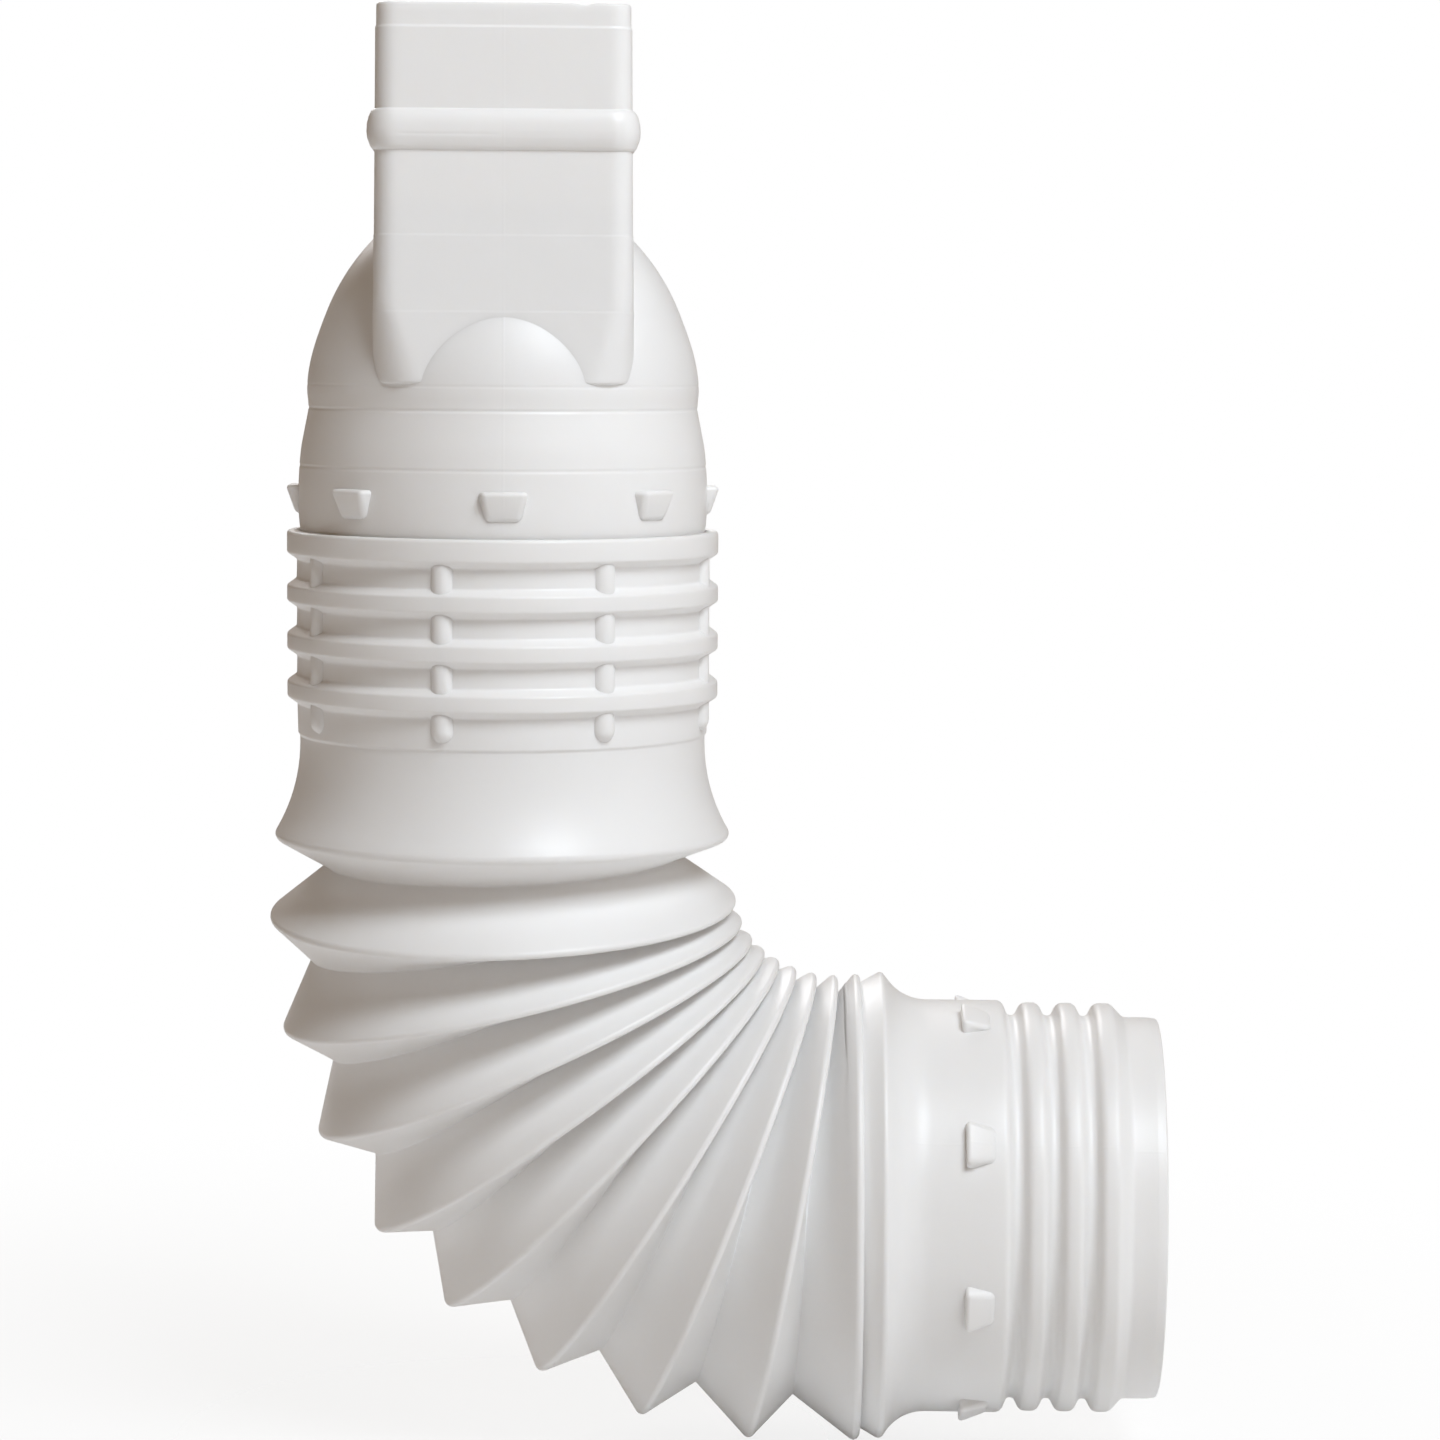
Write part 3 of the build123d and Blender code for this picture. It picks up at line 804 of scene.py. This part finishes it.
def make_elbow(material):
    """The elbow: the outlet's lugs, the collar's bars, and one closed wall for all the rest."""
    bm = bmesh.new()
    outlet, heading, _ = crest_places()[-1]
    lean = LEAN_PROFILE[-1][1]
    along_outlet = Matrix(
        ((0, lean, -1, outlet.x + CUFF_LUG_START), (0, -1, 0, 0), (-1, 0, 0, outlet.z), (0, 0, 0, 1))
    )
    for number in range(LUG_COUNT):
        turn = CUFF_LUG_TURN + number * 2 * pi / LUG_COUNT
        add_lug(bm, CUFF_RADIUS, along_outlet @ Matrix.Rotation(turn, 4, "Z"))
    for number in range(BAR_COUNT):
        angle = BAR_TURN - pi / 2 + number * 2 * pi / BAR_COUNT
        for rib in range(RIB_COUNT):
            start = COLLAR_TOP + rib * RIB_PITCH + BAR_START_IN_RIB
            end = BAR_END if rib == RIB_COUNT - 1 else start + RIB_PITCH + RIB_HEIGHT - BAR_END_IN_RIB
            add_bar(bm, start, end, angle)
    closed_wall(bm, [ring_hoop(ring) for ring in elbow_rings(outlet, heading)], ELBOW_HOOP_POINTS)
    return finished("elbow_moulding", bm, material, "flex_elbow")


# White polypropylene, injection moulded: satin and a little translucent, with a moulding's faint ripple
def satin_polypropylene(name, line_normal, line_offset, line_start):
    """The plastic, with a fine mould line where a plane cuts it, from a place along X onwards."""
    material = bpy.data.materials.new(name)
    material.use_nodes = True
    tree = material.node_tree
    tree.nodes.clear()
    place = add_node(tree, "ShaderNodeTexCoord").outputs["Object"]
    ripple = add_node(tree, "ShaderNodeTexNoise", Vector=place, Scale=1 / (RIPPLE_SIZE * MM), Detail=2.0)
    grain = add_node(tree, "ShaderNodeTexNoise", Vector=place, Scale=1 / (GRAIN_SIZE * MM), Detail=3.0)
    across = add_node(tree, "ShaderNodeVectorMath", {"operation": "DOT_PRODUCT"}, {0: place, 1: line_normal})
    side = add_node(
        tree, "ShaderNodeMath", {"operation": "SUBTRACT"}, {0: across.outputs["Value"], 1: line_offset * MM}
    )
    away = add_node(tree, "ShaderNodeMath", {"operation": "ABSOLUTE"}, {0: side.outputs["Value"]})
    line = add_node(
        tree,
        "ShaderNodeMapRange",
        {"interpolation_type": "SMOOTHSTEP"},
        Value=away.outputs["Value"],
        From_Max=MOULD_LINE_HALF_WIDTH * MM,
        To_Min=1.0,
        To_Max=0.0,
    )
    along = add_node(tree, "ShaderNodeSeparateXYZ", Vector=place)
    shown = add_node(
        tree,
        "ShaderNodeMapRange",
        Value=along.outputs["X"],
        From_Min=line_start * MM - MM,
        From_Max=line_start * MM,
    )
    mould_line = add_node(
        tree,
        "ShaderNodeMath",
        {"operation": "MULTIPLY"},
        {0: line.outputs["Result"], 1: shown.outputs["Result"]},
    )
    line_bump = add_node(
        tree, "ShaderNodeBump", Height=mould_line.outputs["Value"], Strength=0.2, Distance=0.1 * MM
    )
    ripple_bump = add_node(
        tree,
        "ShaderNodeBump",
        Height=ripple.outputs["Fac"],
        Normal=line_bump.outputs["Normal"],
        Strength=0.25,
        Distance=0.6 * MM,
    )
    grain_bump = add_node(
        tree,
        "ShaderNodeBump",
        Height=grain.outputs["Fac"],
        Normal=ripple_bump.outputs["Normal"],
        Strength=0.12,
        Distance=0.05 * MM,
    )
    gloss = add_node(tree, "ShaderNodeMapRange", Value=ripple.outputs["Fac"], To_Min=0.34, To_Max=0.44)
    surface = add_node(
        tree,
        "ShaderNodeBsdfPrincipled",
        Normal=grain_bump.outputs["Normal"],
        Roughness=gloss.outputs["Result"],
        Base_Color=linear(PLASTIC_WHITE),
        IOR=1.49,
        Subsurface_Weight=0.12,
        Subsurface_Radius=(1.0, 0.85, 0.7),
        Subsurface_Scale=2.0 * MM,
    )
    add_node(tree, "ShaderNodeOutputMaterial", Surface=surface.outputs["BSDF"])
    return material


# Pale matt paint, rolled on smooth: a soft white that keeps the shadow and fades out for the camera
def pale_floor_paint():
    material = bpy.data.materials.new("pale_floor")
    material.use_nodes = True
    tree = material.node_tree
    tree.nodes.clear()
    place = add_node(tree, "ShaderNodeTexCoord").outputs["Object"]
    seen = add_node(tree, "ShaderNodeLightPath").outputs["Is Camera Ray"]
    distance = add_node(tree, "ShaderNodeVectorMath", {"operation": "LENGTH"}, Vector=place)
    fade = add_node(
        tree,
        "ShaderNodeMapRange",
        {"interpolation_type": "SMOOTHSTEP"},
        Value=distance.outputs["Value"],
        From_Min=FLOOR_FADE_START,
        From_Max=FLOOR_FADE_END,
    )
    matt = add_node(tree, "ShaderNodeBsdfDiffuse", Color=linear("#FAFAFA"))
    glow = add_node(tree, "ShaderNodeEmission", Color=(1, 1, 1, 1), Strength=1.0)
    clear = add_node(tree, "ShaderNodeBsdfTransparent")
    glowing = add_node(tree, "ShaderNodeMath", {"operation": "MULTIPLY"}, {0: seen, 1: FLOOR_GLOW})
    fading = add_node(tree, "ShaderNodeMath", {"operation": "MULTIPLY"}, {0: fade.outputs["Result"], 1: seen})
    paled = add_node(
        tree,
        "ShaderNodeMixShader",
        numbered={0: glowing.outputs["Value"], 1: matt.outputs["BSDF"], 2: glow.outputs["Emission"]},
    )
    faded = add_node(
        tree,
        "ShaderNodeMixShader",
        numbered={0: fading.outputs["Value"], 1: paled.outputs["Shader"], 2: clear.outputs["BSDF"]},
    )
    add_node(tree, "ShaderNodeOutputMaterial", Surface=faded.outputs["Shader"])
    return material


def make_floor():
    """A round floor under the lowest fold, which keeps the object's shadow."""
    bm = bmesh.new()
    bmesh.ops.create_circle(bm, cap_ends=True, segments=96, radius=FLOOR_RADIUS)
    bmesh.ops.translate(bm, vec=FLOOR_MIDDLE, verts=bm.verts)
    mesh = bpy.data.meshes.new("floor")
    bm.to_mesh(mesh)
    bm.free()
    mesh.materials.append(pale_floor_paint())
    floor = bpy.data.objects.new("floor", mesh)
    bpy.context.scene.collection.objects.link(floor)


def make_world():
    """White to the camera and through clear things, and a soft warm light to the object."""
    world = bpy.data.worlds.new("studio")
    bpy.context.scene.world = world
    world.use_nodes = True
    tree = world.node_tree
    tree.nodes.clear()
    path = add_node(tree, "ShaderNodeLightPath")
    seen = add_node(
        tree,
        "ShaderNodeMath",
        {"operation": "MAXIMUM"},
        {0: path.outputs["Is Camera Ray"], 1: path.outputs["Is Transmission Ray"]},
    )
    soft = add_node(tree, "ShaderNodeBackground", Color=linear("#FFDCB6"), Strength=0.18)
    white = add_node(tree, "ShaderNodeBackground", Color=(1, 1, 1, 1), Strength=1.0)
    both = add_node(
        tree,
        "ShaderNodeMixShader",
        numbered={0: seen.outputs["Value"], 1: soft.outputs["Background"], 2: white.outputs["Background"]},
    )
    add_node(tree, "ShaderNodeOutputWorld", Surface=both.outputs["Shader"])


def softbox(name, place, side, power, colour):
    """A square lamp that looks at the object."""
    lamp = bpy.data.lights.new(name, "AREA")
    lamp.shape = "RECTANGLE"
    lamp.size, lamp.size_y = side, side
    lamp.energy = power
    lamp.color = linear(colour)[:3]
    holder = bpy.data.objects.new(name, lamp)
    holder.location = place
    holder.rotation_euler = (Vector(LAMP_TARGET) - Vector(place)).to_track_quat("-Z", "Y").to_euler()
    bpy.context.scene.collection.objects.link(holder)


def make_camera():
    data = bpy.data.cameras.new("camera")
    data.sensor_width = SENSOR_WIDTH
    data.lens = LENS
    camera = bpy.data.objects.new("camera", data)
    camera.location = CAMERA_PLACE
    level = CAMERA_LOOK.to_track_quat("-Z", "Y")
    camera.rotation_euler = (level @ Quaternion((0, 0, 1), CAMERA_ROLL)).to_euler()
    bpy.context.scene.collection.objects.link(camera)
    bpy.context.scene.camera = camera


# The mould line runs down the middle of the head's front, and along the outlet through its upper front lug
head_line = (cos(HEAD_TURN), sin(HEAD_TURN), 0.0)
head_plastic = satin_polypropylene("head_satin_polypropylene", head_line, 0.0, MOULD_LINE_HEAD_START)
make_head(head_plastic)
cuff_line = (0.0, sin(CUFF_LUG_TURN), cos(CUFF_LUG_TURN))
cuff_line_offset = crest_places()[-1][0].z * cos(CUFF_LUG_TURN)
elbow_plastic = satin_polypropylene(
    "elbow_satin_polypropylene", cuff_line, cuff_line_offset, MOULD_LINE_CUFF_START
)
make_elbow(elbow_plastic)

make_floor()
make_world()
softbox("key", place=(0.65, -0.85, 1.0), side=0.7, power=19.4, colour="#F0F8FF")
softbox("side", place=(1.35, -0.3, 0.45), side=0.7, power=1.8, colour="#F6FAFF")
softbox("back", place=(-0.35, 1.3, 0.7), side=0.8, power=9.0, colour="#FCFDFF")
make_camera()
bpy.context.scene.view_settings.view_transform = "Standard"
